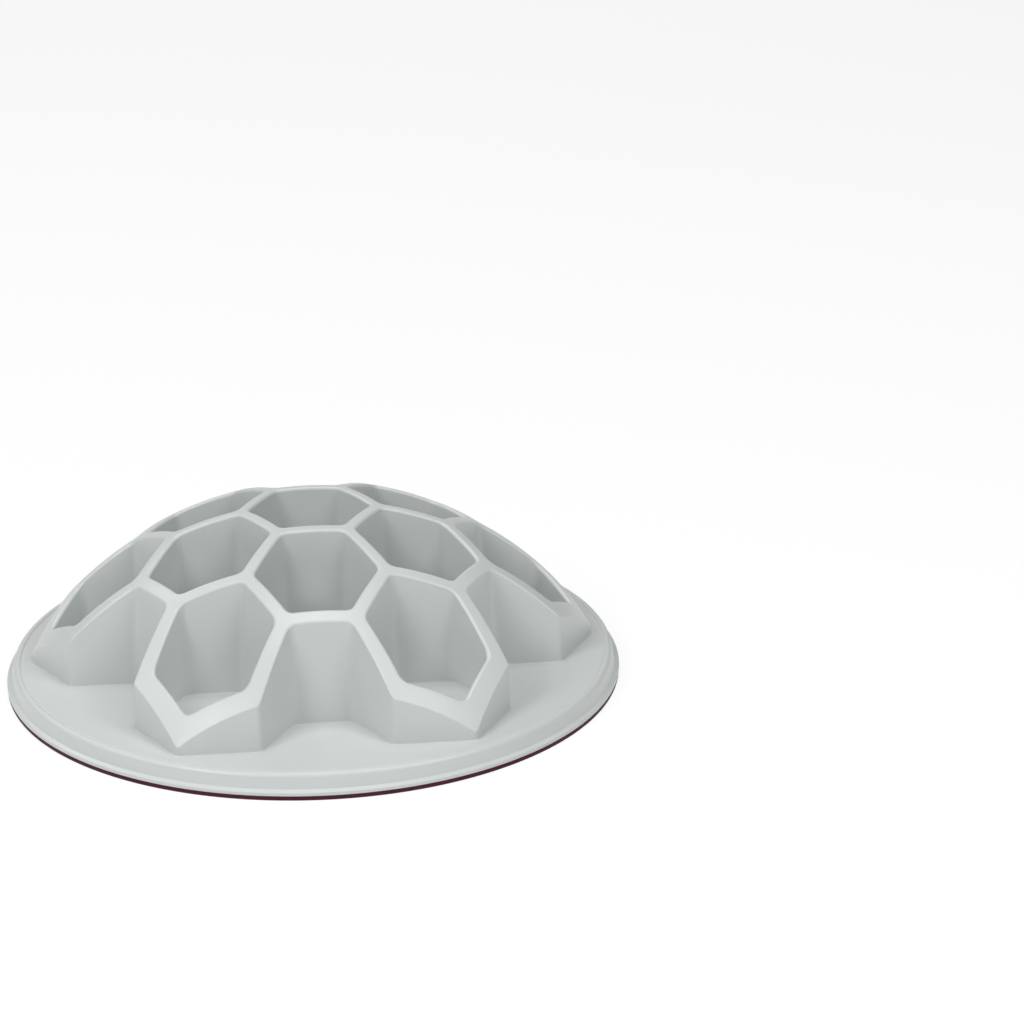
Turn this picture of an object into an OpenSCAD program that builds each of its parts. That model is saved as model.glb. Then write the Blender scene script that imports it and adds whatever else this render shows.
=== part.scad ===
// Slow feeder bowl: a low dome of honeycomb cells on a round tray, with a grip ring under its edge.
// The Z axis is the axis of the dome, and the bowl stands on the plane z = 0.

/* [Bowl] */
// Height of the dome's top over the floor. It lies above the open middle of the centre cell, so
// the walls around that cell end about 2 mm lower.
bowl_h = 87.6; // [76:0.1:94]
// Thickness of the moulded skin
skin_t = 2; // [1.4:0.1:2.4]

/* [Honeycomb] */
// Distance between the centres of neighbouring cells. With the sizes below it makes the bowl
// 298 mm wide over the lip.
cell_pitch = 56.9; // [48:0.1:66]
// Thickness of a cell wall where it stands on the tray
wall_t = 9.9; // [8:0.1:12]
// Lean of each side of a cell wall, in degrees
wall_draft = 1.6; // [0.5:0.1:2]
// Rounding of the upright corners inside a cell
corner_r = 4; // [2:0.1:6]
// Height of the floor inside a closed cell
cell_floor_z = 16.5; // [13:0.1:20]
// How far the outermost tips of the walls stand above the tray
tip_rise = 3.6; // [1:0.1:6]

/* [Tray] */
// Height of the tray
tray_z = 11.4; // [9.5:0.1:12]
// Width of the tray between the tips of the honeycomb and the bead
tray_margin = 5; // [3:0.1:12]

/* [Rim] */
// How far the bead around the tray stands above it
bead_rise = 0.4; // [0.2:0.1:1]
// Radius of the round top of the bead, which turns down into the band
bead_round_r = 2.5; // [2:0.1:3]
// How far the steep band spreads outwards on its way down from the bead
band_w = 1.1; // [0.5:0.1:3]
// Width of the small ledge between the band and the lip
ledge_w = 2.1; // [1:0.1:3]
// How far the ledge falls towards the lip
ledge_fall = 0.8; // [0.2:0.1:1.2]
// Height of the upright lip below the ledge
lip_h = 1.7; // [1.4:0.1:2.6]

/* [Grip ring] */
// Height of the ring that shows under the lip
ring_foot_h = 2.2; // [1.6:0.1:3]
// How far the ring stands back from the lip
ring_setback = 0.2; // [0.1:0.1:1]
// Width of the foot of the ring
ring_foot_w = 5.8; // [5:0.1:8]
// Thickness of the collar that grips the inside of the band
ring_collar_t = 1.4; // [1:0.1:1.8]
// How far the collar reaches up into the moulding
ring_collar_h = 1.6; // [1:0.1:3]
// Gap between that collar and the moulding
ring_gap = 0.2; // [0.1:0.05:0.3]

/* [Hidden] */
// One moulding in portions that meet face to face, from the middle outwards, and the ring
$fn = 96;

// Every cut runs this far past the face that it opens
overrun = 1;
// Segments of a full turn in the rounded corners of a cell
corner_fn = 18;
// Straight steps in the round top of the bead
bead_steps = 8;
// Turn of the dome's sphere in degrees, so that its seam passes between the corners of the cells
seam_turn = 15;
// Radius of the small roundings on the foot of the ring
ring_edge_r = 0.5;

// Cells form a hexagonal grid: inner cells lie towards its flats, outer cells towards its corners
inner_angles = [for (k = [0:5]) 60 * k + 30];
outer_angles = [for (k = [0:5]) 60 * k];
cell_side = cell_pitch / sqrt(3);
inner_at = cell_pitch;
outer_at = cell_side * 3;
bay_at = cell_pitch * 2;

// A wall is wall_t thick at the height of the tray and thins upwards
function half_wall(z) = wall_t / 2 - (z - tray_z) * tan(wall_draft);
function hexagon_r(apothem) = apothem / cos(30);

// Radii from the tips of the honeycomb out to the lip. In section the bead is an arc around
// bead_middle, and meets the tray at the angle bead_slope before its crest.
tips_r = hexagon_r(bay_at + wall_t / 2);
tray_r = tips_r + tray_margin;
bead_slope = acos((bead_round_r - bead_rise) / bead_round_r);
bead_middle = [tray_r + bead_round_r * sin(bead_slope), tray_z + bead_rise - bead_round_r];
bead_r = bead_middle.x + bead_round_r;
ledge_r = bead_r + band_w;
bowl_r = ledge_r + ledge_w;

// Heights of the lip's top and of the foot of the band, and how far the band leans, in degrees
lip_z = ring_foot_h + lip_h;
ledge_z = lip_z + ledge_fall;
band_lean = atan(band_w / (bead_middle.y - ledge_z));

// Points on the round top of the bead, from the tray over its crest to where the band starts
bead_turn = 90 + bead_slope - band_lean;
bead_points = [for (i = [0:bead_steps])
    let (a = 90 + bead_slope - bead_turn * i / bead_steps)
    bead_middle + bead_round_r * [cos(a), sin(a)]];

// The cell walls end on a sphere around [0, 0, dome_z] that passes through those tips
dome_rise = bowl_h - tray_z - tip_rise;
dome_r = (tips_r * tips_r + dome_rise * dome_rise) / (2 * dome_rise);
dome_z = bowl_h - dome_r;

// Inside of the band, from the underside of the tray down to the top of the ring's foot, as
// [radius, height]
under_bead = [bead_r - skin_t, tray_z - skin_t];
under_ledge = [ledge_r - skin_t, ring_foot_h];
function band_inside_r(z) = under_ledge.x
    + (under_bead.x - under_ledge.x) * (z - under_ledge.y) / (under_bead.y - under_ledge.y);

// Outline of a closed cell with corners towards +X, apothem measured from its middle to its flats
module cell_outline(apothem)
{
    circle(r = hexagon_r(apothem), $fn = 6);
}

// Outline of an open bay: a cell that opens towards +X, with its flanks carried on outwards
module bay_outline(apothem)
{
    back = [-apothem, hexagon_r(apothem) / 2];
    front = [apothem, hexagon_r(apothem * 3 / 2)];
    polygon([[back.x, -back.y], [front.x, -front.y], front, back]);
}

// Space above an outline that has the given apothem at z0. Its corners are rounded, and it widens
// upwards to past the dome as the walls thin.
module pocket(z0, apothem)
{
    z1 = bowl_h + overrun;
    top_apothem = apothem + half_wall(z0) - half_wall(z1);
    translate([0, 0, z0])
        linear_extrude(height = z1 - z0, scale = top_apothem / apothem)
            offset(r = corner_r, $fn = corner_fn)
                offset(delta = -corner_r)
                    children();
}

// Space of a closed cell around the Z axis, with the skin's thickness added when grow is skin_t
module cell_pocket(grow)
{
    z0 = cell_floor_z - grow;
    apothem = cell_pitch / 2 - half_wall(z0) + grow;
    pocket(z0, apothem) cell_outline(apothem);
}

// Spaces of the open bays that lie at these angles
module bay_pockets(angles, grow)
{
    apothem = cell_pitch / 2 - half_wall(-overrun) + grow;
    for (angle = angles)
        rotate(angle)
            translate([bay_at, 0, 0]) pocket(-overrun, apothem) bay_outline(apothem);
}

// The hexagonal block of all cells with its leaning sides, taken in by inset
module cell_block(inset)
{
    low = bay_at + half_wall(0) - inset;
    high = bay_at + half_wall(bowl_h) - inset;
    cylinder(h = bowl_h, r1 = hexagon_r(low), r2 = hexagon_r(high), $fn = 6);
}

// Everything between the floor and the dome, taken in by inset, less the bays at these angles
module dome_block(inset, angles)
{
    difference() {
        intersection() {
            translate([0, 0, dome_z]) rotate(seam_turn) sphere(r = dome_r - inset);
            cell_block(inset);
        }
        bay_pockets(angles, inset);
    }
}

// One cell of the moulding around the point [at, 0]: its walls up to the middle of those that it
// shares, and all of those that face the bays at these angles. plot is its share of the plan.
module cell_shell(at, turn, plot, angles)
{
    intersection() {
        linear_extrude(height = bowl_h + overrun) polygon(plot);
        difference() {
            dome_block(0, angles);
            translate([at, 0, 0]) rotate(turn) cell_pocket(0);
            difference() {
                dome_block(skin_t, angles);
                translate([at, 0, 0]) rotate(turn) cell_pocket(skin_t);
            }
            rotate_extrude() tray_hollow_outline();
        }
    }
}

module centre_cell()
{
    color("#cfd5d3")
        cell_shell(0, 0, [for (a = outer_angles) cell_side * [cos(a), sin(a)]], []);
}

module inner_cell(k)
{
    plot = [
        [bay_at, 0],
        [inner_at + cell_pitch / 2, cell_side / 2],
        [inner_at, cell_side],
        [inner_at - cell_pitch / 2, cell_side / 2],
        [inner_at - cell_pitch / 2, -cell_side / 2],
        [inner_at, -cell_side],
        [inner_at + cell_pitch / 2, -cell_side / 2]
    ];
    color("#cfd5d3")
        rotate(inner_angles[k - 1])
            cell_shell(inner_at, 30, plot, [0]);
}

module outer_cell(k)
{
    plot = [
        [outer_at - cell_side, 0],
        [outer_at - cell_side / 2, -cell_pitch / 2],
        [outer_at, -cell_pitch],
        [bowl_r, -cell_pitch],
        [bowl_r, cell_pitch],
        [outer_at, cell_pitch],
        [outer_at - cell_side / 2, cell_pitch / 2]
    ];
    color("#cfd5d3")
        rotate(outer_angles[k - 1])
            cell_shell(outer_at, 0, plot, [-30, 30]);
}

// Section of the tray and rim, filled down to the plane of the lip
module tray_outline()
{
    polygon(concat(
        [[0, ring_foot_h], [0, tray_z]],
        bead_points,
        [
            [ledge_r, ledge_z],
            [bowl_r, lip_z],
            [bowl_r, ring_foot_h]
        ]
    ));
}

// Section of the open space under the tray and rim
module tray_hollow_outline()
{
    polygon([
        [0, -overrun],
        [0, under_bead.y],
        under_bead,
        under_ledge,
        [under_ledge.x, -overrun]
    ]);
}

// The round tray up to the foot of the outermost walls, with the floors of the bays
module tray_and_rim()
{
    color("#cfd5d3")
        difference() {
            rotate_extrude()
                difference() {
                    tray_outline();
                    tray_hollow_outline();
                }
            difference() {
                cell_block(0);
                bay_pockets(inner_angles, 0);
            }
        }
}

// The ring lies under the lip, and its collar reaches up inside the band
module grip_ring()
{
    foot_r = bowl_r - ring_setback;
    collar_z = ring_foot_h + ring_collar_h;
    collar_r = band_inside_r(collar_z) - ring_gap;
    color("#4b2a30")
        rotate_extrude()
            polygon([
                [foot_r - ring_foot_w + ring_edge_r, 0],
                [foot_r - ring_edge_r, 0],
                [foot_r, ring_edge_r],
                [foot_r, ring_foot_h],
                [collar_r, ring_foot_h],
                [collar_r, collar_z],
                [collar_r - ring_collar_t, collar_z],
                [collar_r - ring_collar_t, ring_foot_h],
                [foot_r - ring_foot_w, ring_foot_h],
                [foot_r - ring_foot_w, ring_edge_r]
            ]);
}

centre_cell();
for (k = [1:6]) {
    inner_cell(k);
    outer_cell(k);
}
tray_and_rim();
grip_ring();
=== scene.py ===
"""Slow feeder bowl: a moulded dome of honeycomb cells on a round tray, standing on a rubber ring.

The moulding is one mesh with a top side and an underside. Each cell is lofted from sections that
run from the dome over the rounded wall edge, down the wall and round the fillet to the floor, and
so is the outside of the honeycomb, which goes on into the tray and the rim. Both sides end on the
same circle in the foot of the lip, with their points at different angles, so the mesh is open
there and its underside faces up. Plan points are mathutils Vectors in millimetres, in the frame of
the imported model.
"""
from math import cos, radians, sin, sqrt, tan

import bmesh
import bpy
from mathutils import Matrix, Vector


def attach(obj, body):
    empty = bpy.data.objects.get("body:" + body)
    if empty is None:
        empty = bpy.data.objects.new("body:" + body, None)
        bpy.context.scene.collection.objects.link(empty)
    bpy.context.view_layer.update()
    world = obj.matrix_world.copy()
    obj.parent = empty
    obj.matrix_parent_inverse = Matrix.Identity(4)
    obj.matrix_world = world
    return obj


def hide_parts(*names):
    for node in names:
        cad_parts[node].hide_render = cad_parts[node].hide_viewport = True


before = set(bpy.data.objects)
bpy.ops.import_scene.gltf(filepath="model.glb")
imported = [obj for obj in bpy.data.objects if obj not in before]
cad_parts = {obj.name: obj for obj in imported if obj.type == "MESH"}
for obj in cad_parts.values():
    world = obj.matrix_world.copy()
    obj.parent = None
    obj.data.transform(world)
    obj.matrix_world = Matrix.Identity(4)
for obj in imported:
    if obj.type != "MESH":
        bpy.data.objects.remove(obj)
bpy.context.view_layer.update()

MM = 0.001

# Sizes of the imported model, in millimetres
BOWL_H = 87.6
SKIN_T = 2
CELL_PITCH = 56.9
WALL_T = 9.9
WALL_DRAFT = radians(1.6)
CORNER_R = 4
CELL_FLOOR_Z = 16.5
TIP_RISE = 3.6
TRAY_Z = 11.4
TRAY_MARGIN = 5
BEAD_RISE = 0.4
BEAD_ROUND_R = 2.5
BAND_W = 1.1
LEDGE_W = 2.1
LEDGE_FALL = 0.8
LIP_H = 1.7
RING_FOOT_H = 2.2
RING_FOOT_W = 5.8
RING_SETBACK = 0.2
RING_COLLAR_T = 1.4
RING_COLLAR_H = 1.6
RING_GAP = 0.2

# Roundings that only the finished skin has, in millimetres
CELL_EDGE_R = 1.5
BLOCK_EDGE_R = 1.5
CELL_FOOT_R = 0.8
BLOCK_FOOT_R = 0.7
BLOCK_CORNER_R = 3
UNDER_EDGE_R = 0.8
UNDER_FOOT_R = 2.5

# How much the rounding of a cell's upright corner grows with each millimetre down from the top
CORNER_SPREAD = 0.03

# How often the end of a wall's face is moved onto the dome
DOME_STEPS = 4

# The fine groove at the inner foot of the bead, and the roundings along the rim
GROOVE_W = 0.8
GROOVE_DEPTH = 0.3
GROOVE_ROUND_R = 0.2
BEAD_FOOT_R = 1.2
LEDGE_ROUND_R = 0.2
LIP_TOP_R = 0.5
LIP_FOOT_R = 0.3
UNDER_BEAD_R = 1
UNDER_LEDGE_R = 0.3

# Roundings of the rubber ring
RING_INNER_R = 0.6
RING_OUTER_R = 0.4
RING_SEAT_R = 0.15
COLLAR_TOP_R = 0.3

# How finely the lofts are divided
SIDE_SEGMENTS = 10
CORNER_SEGMENTS = 6
ARC_SEGMENTS = 6
WALL_SEGMENTS = 8
TRAY_RINGS = 12
RING_SEGMENTS = 360

# Where rings divide a cell's floor, as shares of the way from its middle to its edge
FLOOR_SHARES = [0.75, 0.5, 0.25]

# Points of the lofts that lie closer than this, in metres, are welded
WELD = 0.00001

# Shares of a section that its roundings may use up
TOP_SHARE = 0.85
WALL_SHARE = 0.9

# Part of a noise's range that colours and roughness run through
NOISE_LOW = 0.35
NOISE_HIGH = 0.65

# Colours that a surface drifts between
PLASTIC_TONES = ((0.603, 0.633, 0.624), (0.617, 0.647, 0.638))
RUBBER_TONES = ((0.06, 0.011, 0.018), (0.07, 0.014, 0.022))

# Roughness that a surface drifts between
PLASTIC_ROUGHNESS = (0.32, 0.38)
RUBBER_ROUGHNESS = (0.52, 0.68)
RUBBER_SPECULAR = 0.2

# Noise on the surfaces: size of its features in millimetres, and its detail
TONE_NOISE = (60, 2)
SCUFF_NOISE = (9, 4)
GRAIN_NOISE = (0.5, 2)
WAVE_NOISE = (22, 1)
RUBBER_TONE_NOISE = (12, 3)
RUBBER_SCUFF_NOISE = (4, 3)
PIT_NOISE = (0.35, 2)

# Depths of the bumps from such noise, in millimetres
GRAIN_DEPTH = 0.012
WAVE_DEPTH = 0.05
PIT_DEPTH = 0.03

# Floor: half its side in metres, its own grey, and the share and strength of the white it shows
FLOOR_SIZE = 6
FLOOR_GREY = (0.85, 0.85, 0.85, 1)
FLOOR_WHITE_SHARE = 0.8
FLOOR_WHITE = 1.06

# World: its white and its strength
WORLD_WHITE = (1, 1, 1, 1)
WORLD_LEVEL = 0.12

# Soft boxes that all face the bowl: azimuth from +X and elevation in degrees, distance and size in
# metres, power in watts
LAMPS = {
    "overhead": (0, 90, 1.8, 0.6, 8),
    "left": (225, 40, 1.8, 0.6, 11.5),
    "left side": (180, 40, 1.8, 0.6, 2.5),
    "left rear": (132, 42, 1.6, 0.6, 2.5),
    "right": (315, 40, 1.8, 0.6, 7.5),
    "right high": (315, 65, 1.8, 0.6, 3),
    "front": (270, 27, 1, 0.5, 0.7),
    "rear": (90, 15, 1.9, 1.4, 2),
}

# The photograph's camera: lens and frame in pixels, place and sensor in millimetres, turns in
# degrees
FRAME_PX = 1024
SENSOR_W = 36
CAMERA_FOCAL_PX = 3340.1
CAMERA_PLACE = (-59.68, -1507.0, 651.04)
CAMERA_HEADING = 5.976
CAMERA_PITCH = 20.74
CAMERA_ROLL = -0.594

COS30 = cos(radians(30))
TAN30 = tan(radians(30))
HALF_PITCH = CELL_PITCH / 2
CELL_SIDE = CELL_PITCH / sqrt(3)
OUTER_AT = CELL_SIDE * 3
BAY_AT = CELL_PITCH * 2
TIPS_R = (BAY_AT + WALL_T / 2) / COS30
DOME_RISE = BOWL_H - TRAY_Z - TIP_RISE
DOME_R = (TIPS_R ** 2 + DOME_RISE ** 2) / (2 * DOME_RISE)
DOME_Z = BOWL_H - DOME_R
TRAY_R = TIPS_R + TRAY_MARGIN
BEAD_TOP_Z = TRAY_Z + BEAD_RISE
BEAD_MIDDLE_R = TRAY_R + sqrt(BEAD_ROUND_R ** 2 - (BEAD_ROUND_R - BEAD_RISE) ** 2)
BEAD_R = BEAD_MIDDLE_R + BEAD_ROUND_R
LEDGE_R = BEAD_R + BAND_W
BOWL_R = LEDGE_R + LEDGE_W
LIP_Z = RING_FOOT_H + LIP_H
LEDGE_Z = LIP_Z + LEDGE_FALL
UNDER_BEAD = (BEAD_R - SKIN_T, TRAY_Z - SKIN_T)
UNDER_LEDGE = (LEDGE_R - SKIN_T, RING_FOOT_H)

# The straight of the band leans by this much for each millimetre of height. BAND_TOP_R is where
# it would reach the height of the bead's crest.
BAND_LEAN = BAND_W / (BEAD_TOP_Z - BEAD_ROUND_R - LEDGE_Z)
BAND_TOP_R = LEDGE_R - (BEAD_TOP_Z - LEDGE_Z) * BAND_LEAN

# Sections of the rim, both from the tray outwards to the same circle in the foot of the lip.
# Each corner is its radius, its height and its rounding.
LIP_FOOT = (BOWL_R - SKIN_T / 2, RING_FOOT_H, 0)
RIM_TOP = [
    (TRAY_R - 2 * GROOVE_W, TRAY_Z, 0),
    (TRAY_R - GROOVE_W / 2, TRAY_Z, GROOVE_ROUND_R),
    (TRAY_R, TRAY_Z - GROOVE_DEPTH, GROOVE_ROUND_R),
    (TRAY_R + GROOVE_W, BEAD_TOP_Z, BEAD_FOOT_R),
    (BAND_TOP_R, BEAD_TOP_Z, BEAD_ROUND_R),
    (LEDGE_R, LEDGE_Z, LEDGE_ROUND_R),
    (BOWL_R, LIP_Z, LIP_TOP_R),
    (BOWL_R, RING_FOOT_H, LIP_FOOT_R),
    LIP_FOOT,
]
RIM_UNDER = [
    (UNDER_BEAD[0] - SKIN_T, UNDER_BEAD[1], 0),
    (*UNDER_BEAD, UNDER_BEAD_R),
    (*UNDER_LEDGE, UNDER_LEDGE_R),
    LIP_FOOT,
]


def direction(angle):
    """Unit vector in plan at an angle in degrees."""
    return Vector((cos(radians(angle)), sin(radians(angle))))


def dome_z(point, inset):
    """Height of the dome over a plan point, with the sphere taken in by inset."""
    return DOME_Z + sqrt((DOME_R - inset) ** 2 - point.length_squared)


def half_wall(z):
    """Half the thickness of a cell wall at a height."""
    return WALL_T / 2 - (z - TRAY_Z) * tan(WALL_DRAFT)


def corner_r(z, inset):
    """Radius of a cell's upright corners at a height."""
    return CORNER_R + (BOWL_H - z) * CORNER_SPREAD + inset


def straight(centre, normal_angle, distance, start, end):
    """Points with their normals along one straight side of an outline, seen from its centre."""
    normal = direction(normal_angle)
    along = direction(normal_angle + 90)
    steps = [start + (end - start) * i / SIDE_SEGMENTS for i in range(SIDE_SEGMENTS + 1)]
    return [(centre + normal * distance + along * t, normal) for t in steps]


def corner(centre, corner_angle, to_arc_centre, radius, first_angle, last_angle, facing):
    """Points with their normals inside a rounded corner. facing is 1 for an outer corner, and -1
    where the normals point at the centre of the arc."""
    arc_centre = centre + direction(corner_angle) * to_arc_centre
    points = []
    for i in range(1, CORNER_SEGMENTS):
        ray = direction(first_angle + (last_angle - first_angle) * i / CORNER_SEGMENTS)
        points.append((arc_centre + ray * radius, ray * facing))
    return points


def cell_outline(centre, z, inset):
    """Inside of a closed cell at a height, with its normals pointing into the cell."""
    apothem = HALF_PITCH - half_wall(z) + inset
    radius = corner_r(z, inset)
    reach = (apothem - radius) * TAN30
    points = []
    for side in range(6):
        normal_angle = 60 * side + 30
        for point, normal in straight(centre, normal_angle, apothem, -reach, reach):
            points.append((point, -normal))
        points += corner(centre, normal_angle + 30, (apothem - radius) / COS30, radius,
                         normal_angle, normal_angle + 60, -1)
    return points


def block_outline(z, inset):
    """Outside of the honeycomb at a height, with its normals pointing outwards."""
    wall = half_wall(z) - inset
    convex_apothem = HALF_PITCH + wall
    convex_r = max(BLOCK_CORNER_R - inset, UNDER_EDGE_R)
    convex_reach = (convex_apothem - convex_r) * TAN30
    bay_apothem = HALF_PITCH - wall
    bay_r = corner_r(z, inset)
    bay_reach = (bay_apothem - bay_r) * TAN30
    to_bay_arc = (bay_apothem - bay_r) / COS30
    points = []
    for sector in range(6):
        turn = 60 * sector
        outer = direction(turn) * OUTER_AT
        inner = direction(turn + 30) * CELL_PITCH
        bay = direction(turn + 30) * BAY_AT
        for normal_angle in (-90, -30, 30, 90):
            start = -bay_reach if normal_angle == -90 else -convex_reach
            end = bay_reach if normal_angle == 90 else convex_reach
            points += straight(outer, turn + normal_angle, convex_apothem, start, end)
            if normal_angle != 90:
                points += corner(outer, turn + normal_angle + 30,
                                 (convex_apothem - convex_r) / COS30, convex_r,
                                 turn + normal_angle, turn + normal_angle + 60, 1)
        points += corner(bay, turn + 240, to_bay_arc, bay_r, turn + 270, turn + 210, -1)
        points += straight(inner, turn + 30, convex_apothem, -bay_reach, bay_reach)
        points += corner(bay, turn + 180, to_bay_arc, bay_r, turn + 210, turn + 150, -1)
    return points


def midline_side(centre, normal_angle):
    """Points on the middle of a wall along one side of a cell, and on to the next corner. Both
    cells that share the wall get the same points."""
    half_side = CELL_SIDE / 2
    reach = (HALF_PITCH - WALL_T / 2 - CORNER_R) * TAN30
    points = [point for point, _ in straight(centre, normal_angle, HALF_PITCH, -reach, reach)]
    steps = CORNER_SEGMENTS // 2
    normal = direction(normal_angle) * HALF_PITCH
    along = direction(normal_angle + 90)
    for i in range(1, steps + 1):
        points.append(centre + normal + along * (reach + (half_side - reach) * i / steps))
    return points


def midline_start(centre, normal_angle):
    """Points from the corner before a side to where midline_side starts, corner left out."""
    half_side = CELL_SIDE / 2
    reach = (HALF_PITCH - WALL_T / 2 - CORNER_R) * TAN30
    steps = CORNER_SEGMENTS // 2
    normal = direction(normal_angle) * HALF_PITCH
    along = direction(normal_angle + 90)
    return [centre + normal - along * (half_side + (reach - half_side) * i / steps)
            for i in range(1, steps)]


def midline_loop(sides):
    """Midline points of a chain of (centre, normal angle) sides, matched to an outline's points."""
    points = []
    for i, side in enumerate(sides):
        points += midline_side(*side)
        points += midline_start(*sides[(i + 1) % len(sides)])
    return points


def cell_midline(centre):
    """Middle of the walls around a closed cell."""
    return midline_loop([(centre, 60 * side + 30) for side in range(6)])


def block_midline():
    """Middle of the walls that face the outside of the honeycomb."""
    sides = []
    for sector in range(6):
        turn = 60 * sector
        outer = direction(turn) * OUTER_AT
        sides += [(outer, turn + angle) for angle in (-90, -30, 30, 90)]
        sides.append((direction(turn + 30) * CELL_PITCH, turn + 30))
    return midline_loop(sides)


def fillet(corner_point, towards_a, towards_b, radius):
    """Arc that rounds the corner between two directions, from the side of a to the side of b."""
    half_angle = towards_a.angle(towards_b) / 2
    tangent = radius / tan(half_angle)
    middle = corner_point + (towards_a + towards_b).normalized() * (radius / sin(half_angle))
    first = corner_point + towards_a * tangent - middle
    last = corner_point + towards_b * tangent - middle
    return [middle + first.slerp(last, i / ARC_SEGMENTS) * radius for i in range(ARC_SEGMENTS + 1)]


def lift(point, z):
    """The point in space at a height over a plan point."""
    return Vector((point.x, point.y, z))


def wall_section(midline, outline_at, floor_z, inset, edge_r, foot_r):
    """Points from the middle of a wall's top over its edge and down to the floor beside it.
    outline_at gives the wall's plan point and normal at a height."""
    top_z = dome_z(outline_at(BOWL_H)[0], inset)
    for _ in range(DOME_STEPS):
        top_z = dome_z(outline_at(top_z)[0], inset)
    wall_top, normal = outline_at(top_z)
    top = lift(wall_top, top_z)
    foot = lift(outline_at(floor_z)[0], floor_z)
    crest = lift(midline, dome_z(midline, inset))
    behind = wall_top - normal
    along_top = (lift(behind, dome_z(behind, inset)) - top).normalized()
    along_floor = lift(normal, 0)
    down = (foot - top).normalized()
    edge_tan = tan(along_top.angle(down) / 2)
    foot_tan = tan(along_floor.angle(-down) / 2)
    top_room = (wall_top - midline).dot(normal) * TOP_SHARE
    edge_r = min(edge_r, top_room * edge_tan / along_top.to_2d().length)
    wanted = edge_r / edge_tan + foot_r / foot_tan
    share = min(1, (top - foot).length * WALL_SHARE / wanted)
    edge_arc = fillet(top, along_top, down, edge_r * share)
    foot_arc = fillet(foot, -down, along_floor, foot_r * share)
    wall = [edge_arc[-1].lerp(foot_arc[0], i / WALL_SEGMENTS) for i in range(1, WALL_SEGMENTS)]
    return [crest] + edge_arc + wall + foot_arc


def rounded_path(corners):
    """Polyline through (radius, height, rounding) corners, with an arc in each rounded one."""
    places = [Vector((r, z)) for r, z, _ in corners]
    path = []
    for i, (place, (_, _, rounding)) in enumerate(zip(places, corners)):
        if rounding == 0:
            path.append(place)
            continue
        back = (places[i - 1] - place).normalized()
        on = (places[(i + 1) % len(places)] - place).normalized()
        path += fillet(place, back, on, rounding)
    return path


class Skin:
    """A mesh that is put together from lofts and welded where their points coincide."""

    def __init__(self):
        self.mesh = bmesh.new()

    def ring(self, points):
        """A vertex at each of the points, which are in millimetres."""
        return [self.mesh.verts.new(point * MM) for point in points]

    def loft(self, rings):
        """Faces between rings of vertices, each of them closed on itself."""
        for low, high in zip(rings, rings[1:]):
            for i in range(len(low)):
                j = (i + 1) % len(low)
                self.mesh.faces.new((low[i], low[j], high[j], high[i]))

    def fan(self, ring, point):
        """Faces that close a ring of vertices towards a point in its middle."""
        tip = self.mesh.verts.new(point * MM)
        for i in range(len(ring)):
            self.mesh.faces.new((ring[i], ring[(i + 1) % len(ring)], tip))

    def piece(self, name):
        """Welds the lofts and makes them an object with smooth faces."""
        bmesh.ops.remove_doubles(self.mesh, verts=self.mesh.verts, dist=WELD)
        bmesh.ops.recalc_face_normals(self.mesh, faces=self.mesh.faces)
        for face in self.mesh.faces:
            face.smooth = True
        data = bpy.data.meshes.new(name)
        self.mesh.to_mesh(data)
        self.mesh.free()
        obj = bpy.data.objects.new(name, data)
        bpy.context.scene.collection.objects.link(obj)
        normals = obj.modifiers.new("smooth_flats", "WEIGHTED_NORMAL")
        normals.keep_sharp = True
        return obj


def outline_sections(midline, outline, floor_z, inset, edge_r, foot_r):
    """One wall section for each point of an outline. outline gives all its points at a height."""
    heights = {}

    def outline_at(z, index):
        if z not in heights:
            heights[z] = outline(z)
        return heights[z][index]

    sections = []
    for index, point in enumerate(midline):
        sections.append(wall_section(point, lambda z: outline_at(z, index), floor_z,
                                     inset, edge_r, foot_r))
    return sections


def add_cell(skin, centre, inset, edge_r, foot_r):
    """The wall faces and the floor of a closed cell, or the same seen from below."""
    floor_z = CELL_FLOOR_Z - inset
    sections = outline_sections(cell_midline(centre), lambda z: cell_outline(centre, z, inset),
                                floor_z, inset, edge_r, foot_r)
    rings = [skin.ring(points) for points in zip(*sections)]
    middle = lift(centre, floor_z)
    edge = [section[-1] for section in sections]
    rings += [skin.ring([middle.lerp(point, share) for point in edge]) for share in FLOOR_SHARES]
    skin.loft(rings)
    skin.fan(rings[-1], middle)


def add_block_and_tray(skin, inset, edge_r, foot_r, rim):
    """The outside of the honeycomb, the tray around it and one side of the rim."""
    floor_z = TRAY_Z - inset
    sections = outline_sections(block_midline(), lambda z: block_outline(z, inset), floor_z,
                                inset, edge_r, foot_r)
    rings = [skin.ring(points) for points in zip(*sections)]
    path = rounded_path(rim)
    feet = [section[-1].to_2d() for section in sections]
    for i in range(1, TRAY_RINGS):
        points = [foot.lerp(foot.normalized() * path[0].x, i / TRAY_RINGS) for foot in feet]
        rings.append(skin.ring([lift(point, floor_z) for point in points]))
    for place in path:
        rings.append(skin.ring([lift(foot.normalized() * place.x, place.y) for foot in feet]))
    skin.loft(rings)


def make_moulding():
    """The moulding of the bowl: top side, rim and underside."""
    skin = Skin()
    centres = [Vector((0, 0))]
    centres += [direction(60 * k + 30) * CELL_PITCH for k in range(6)]
    centres += [direction(60 * k) * OUTER_AT for k in range(6)]
    for centre in centres:
        add_cell(skin, centre, 0, CELL_EDGE_R, CELL_FOOT_R)
        add_cell(skin, centre, SKIN_T, UNDER_EDGE_R, UNDER_FOOT_R)
    add_block_and_tray(skin, 0, BLOCK_EDGE_R, BLOCK_FOOT_R, RIM_TOP)
    add_block_and_tray(skin, SKIN_T, UNDER_EDGE_R, UNDER_FOOT_R, RIM_UNDER)
    return skin.piece("moulded_bowl")


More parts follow.
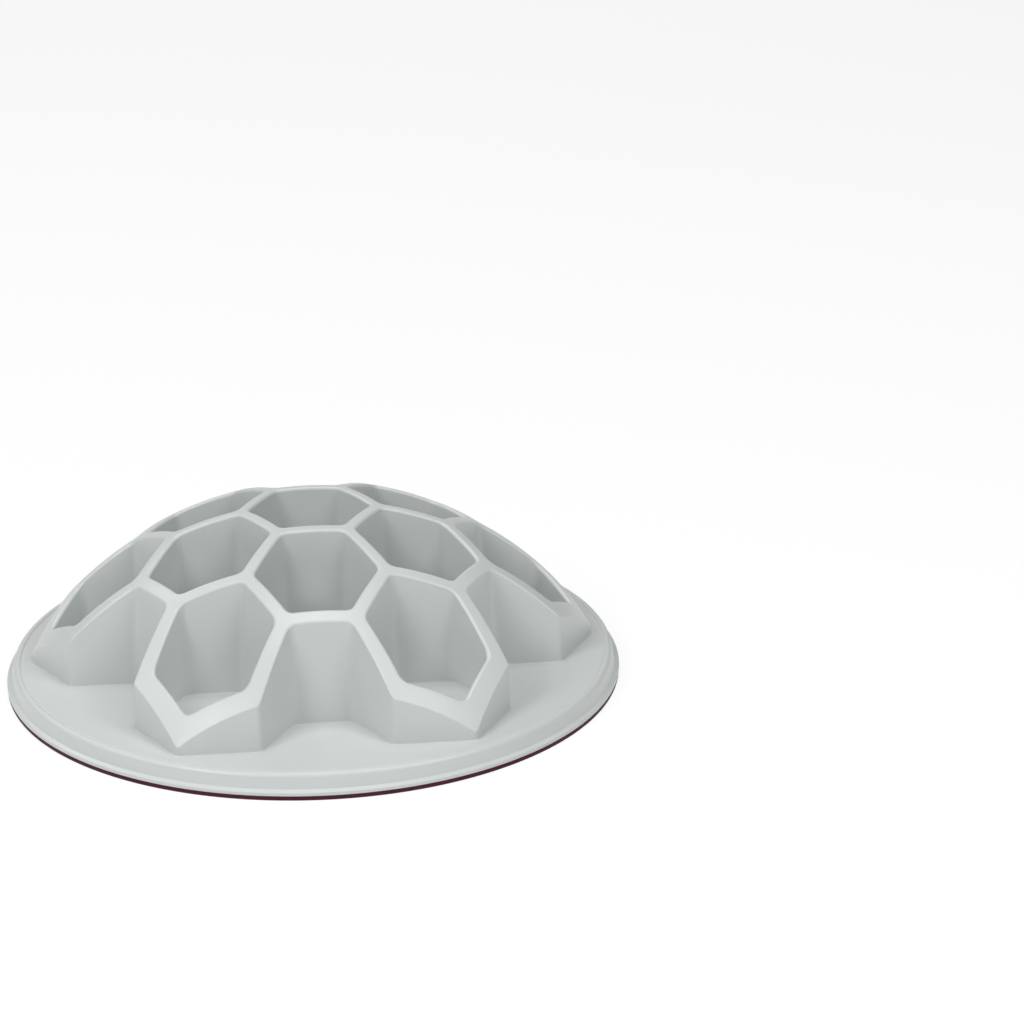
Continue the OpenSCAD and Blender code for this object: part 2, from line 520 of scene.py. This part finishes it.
def make_ring():
    """The rubber ring: its foot, and the collar that holds it inside the lip."""
    foot_r = BOWL_R - RING_SETBACK
    foot_in_r = foot_r - RING_FOOT_W
    collar_z = RING_FOOT_H + RING_COLLAR_H
    rise = RING_COLLAR_H / (UNDER_BEAD[1] - UNDER_LEDGE[1])
    collar_r = UNDER_LEDGE[0] + (UNDER_BEAD[0] - UNDER_LEDGE[0]) * rise - RING_GAP
    collar_in_r = collar_r - RING_COLLAR_T
    path = rounded_path([
        (foot_in_r, 0, RING_INNER_R),
        (foot_r, 0, RING_OUTER_R),
        (foot_r, RING_FOOT_H, RING_SEAT_R),
        (collar_r, RING_FOOT_H, RING_SEAT_R),
        (collar_r, collar_z, COLLAR_TOP_R),
        (collar_in_r, collar_z, COLLAR_TOP_R),
        (collar_in_r, RING_FOOT_H, 0),
        (foot_in_r, RING_FOOT_H, 0),
    ])
    skin = Skin()
    turns = [direction(360 * i / RING_SEGMENTS) for i in range(RING_SEGMENTS)]
    rings = [skin.ring([lift(turn * place.x, place.y) for turn in turns]) for place in path]
    skin.loft(rings + rings[:1])
    return skin.piece("grip_ring_rubber")


class Finish:
    """A procedural material around one Principled shader, in the object's own coordinates."""

    def __init__(self, name):
        self.material = bpy.data.materials.new(name)
        self.material.use_nodes = True
        self.tree = self.material.node_tree
        self.shader = self.tree.nodes["Principled BSDF"]
        self.place = self.tree.nodes.new("ShaderNodeTexCoord").outputs["Object"]

    def noise(self, size, detail):
        """Noise with features of about that size in millimetres."""
        node = self.tree.nodes.new("ShaderNodeTexNoise")
        node.inputs["Scale"].default_value = 1 / (size * MM)
        node.inputs["Detail"].default_value = detail
        self.tree.links.new(self.place, node.inputs["Vector"])
        return node.outputs["Fac"]

    def ramp(self, value, low, high):
        """Colour from low to high as the value goes through the middle of its range."""
        node = self.tree.nodes.new("ShaderNodeValToRGB")
        node.color_ramp.elements[0].position = NOISE_LOW
        node.color_ramp.elements[1].position = NOISE_HIGH
        node.color_ramp.elements[0].color = (*low, 1)
        node.color_ramp.elements[1].color = (*high, 1)
        self.tree.links.new(value, node.inputs["Fac"])
        return node.outputs["Color"]

    def map_range(self, value, low, high):
        """Number from low to high as the value goes through the middle of its range."""
        node = self.tree.nodes.new("ShaderNodeMapRange")
        node.inputs["From Min"].default_value = NOISE_LOW
        node.inputs["From Max"].default_value = NOISE_HIGH
        node.inputs["To Min"].default_value = low
        node.inputs["To Max"].default_value = high
        self.tree.links.new(value, node.inputs["Value"])
        return node.outputs["Result"]

    def bump(self, height, depth, normal=None):
        """Bump of a depth in millimetres, on top of an earlier one if it is given."""
        node = self.tree.nodes.new("ShaderNodeBump")
        node.inputs["Distance"].default_value = depth * MM
        self.tree.links.new(height, node.inputs["Height"])
        if normal:
            self.tree.links.new(normal, node.inputs["Normal"])
        return node.outputs["Normal"]

    def link(self, output, socket):
        """Feeds an input of the shader."""
        self.tree.links.new(output, self.shader.inputs[socket])


def plastic():
    """Satin moulded plastic with a faint grain, a slow drift of tone and light scuffs."""
    finish = Finish("satin_plastic")
    finish.link(finish.ramp(finish.noise(*TONE_NOISE), *PLASTIC_TONES), "Base Color")
    finish.link(finish.map_range(finish.noise(*SCUFF_NOISE), *PLASTIC_ROUGHNESS), "Roughness")
    grain = finish.bump(finish.noise(*GRAIN_NOISE), GRAIN_DEPTH)
    finish.link(finish.bump(finish.noise(*WAVE_NOISE), WAVE_DEPTH, grain), "Normal")
    return finish.material


def rubber():
    """Dull burgundy rubber with a fine pitted surface."""
    finish = Finish("burgundy_rubber")
    finish.shader.inputs["Specular IOR Level"].default_value = RUBBER_SPECULAR
    finish.link(finish.ramp(finish.noise(*RUBBER_TONE_NOISE), *RUBBER_TONES), "Base Color")
    finish.link(finish.map_range(finish.noise(*RUBBER_SCUFF_NOISE), *RUBBER_ROUGHNESS), "Roughness")
    finish.link(finish.bump(finish.noise(*PIT_NOISE), PIT_DEPTH), "Normal")
    return finish.material


def seen_white(tree):
    """Socket that is 1 for rays that show the background: the camera's own, and those that reach
    it by a reflection or through something clear."""
    path = tree.nodes.new("ShaderNodeLightPath")
    seen = path.outputs["Is Camera Ray"]
    for kind in ("Is Glossy Ray", "Is Transmission Ray"):
        either = tree.nodes.new("ShaderNodeMath")
        either.operation = "MAXIMUM"
        tree.links.new(seen, either.inputs[0])
        tree.links.new(path.outputs[kind], either.inputs[1])
        seen = either.outputs[0]
    return seen


def add_floor():
    """A pale floor. It looks mostly plain white, with the object's soft shadow on it."""
    mesh = bmesh.new()
    bmesh.ops.create_grid(mesh, x_segments=1, y_segments=1, size=FLOOR_SIZE)
    data = bpy.data.meshes.new("floor")
    mesh.to_mesh(data)
    mesh.free()
    floor = bpy.data.objects.new("floor", data)
    bpy.context.scene.collection.objects.link(floor)
    material = bpy.data.materials.new("pale_floor")
    material.use_nodes = True
    tree = material.node_tree
    shader = tree.nodes["Principled BSDF"]
    shader.inputs["Base Color"].default_value = FLOOR_GREY
    shader.inputs["Roughness"].default_value = 1
    shader.inputs["Specular IOR Level"].default_value = 0
    white = tree.nodes.new("ShaderNodeEmission")
    white.inputs["Strength"].default_value = FLOOR_WHITE
    share = tree.nodes.new("ShaderNodeMath")
    share.operation = "MULTIPLY"
    share.inputs[1].default_value = FLOOR_WHITE_SHARE
    mix = tree.nodes.new("ShaderNodeMixShader")
    tree.links.new(seen_white(tree), share.inputs[0])
    tree.links.new(share.outputs[0], mix.inputs["Fac"])
    tree.links.new(shader.outputs[0], mix.inputs[1])
    tree.links.new(white.outputs[0], mix.inputs[2])
    tree.links.new(mix.outputs[0], tree.nodes["Material Output"].inputs["Surface"])
    data.materials.append(material)


def add_world():
    """Faint light from all around."""
    world = bpy.data.worlds.new("studio")
    world.use_nodes = True
    background = world.node_tree.nodes["Background"]
    background.inputs["Color"].default_value = WORLD_WHITE
    background.inputs["Strength"].default_value = WORLD_LEVEL
    bpy.context.scene.world = world


def add_lamp(name, azimuth, elevation, distance, size, power):
    """A square soft box that faces the bowl."""
    plan = direction(azimuth) * cos(radians(elevation))
    place = lift(plan, sin(radians(elevation))) * distance
    lamp = bpy.data.lights.new(name, "AREA")
    lamp.size = size
    lamp.energy = power
    obj = bpy.data.objects.new(name, lamp)
    obj.location = place
    obj.rotation_euler = (-place).to_track_quat("-Z", "Y").to_euler()
    bpy.context.scene.collection.objects.link(obj)


def add_camera():
    """The photograph's camera. Its heading turns from +Y to +X, and its pitch is down."""
    data = bpy.data.cameras.new("camera")
    data.sensor_width = SENSOR_W
    data.lens = CAMERA_FOCAL_PX / FRAME_PX * SENSOR_W
    camera = bpy.data.objects.new("camera", data)
    turn = (Matrix.Rotation(-radians(CAMERA_HEADING), 4, "Z")
            @ Matrix.Rotation(radians(90 - CAMERA_PITCH), 4, "X")
            @ Matrix.Rotation(radians(CAMERA_ROLL), 4, "Z"))
    camera.matrix_world = Matrix.Translation(Vector(CAMERA_PLACE) * MM) @ turn
    bpy.context.scene.collection.objects.link(camera)
    bpy.context.scene.camera = camera


moulding = make_moulding()
moulding.data.materials.append(plastic())
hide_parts(*[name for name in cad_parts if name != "grip_ring"])
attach(moulding, "root")

ring = make_ring()
ring.data.materials.append(rubber())
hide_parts("grip_ring")
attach(ring, "root")

add_floor()
add_world()
for lamp_name, lamp in LAMPS.items():
    add_lamp(lamp_name, *lamp)
add_camera()
bpy.context.scene.view_settings.view_transform = "Standard"
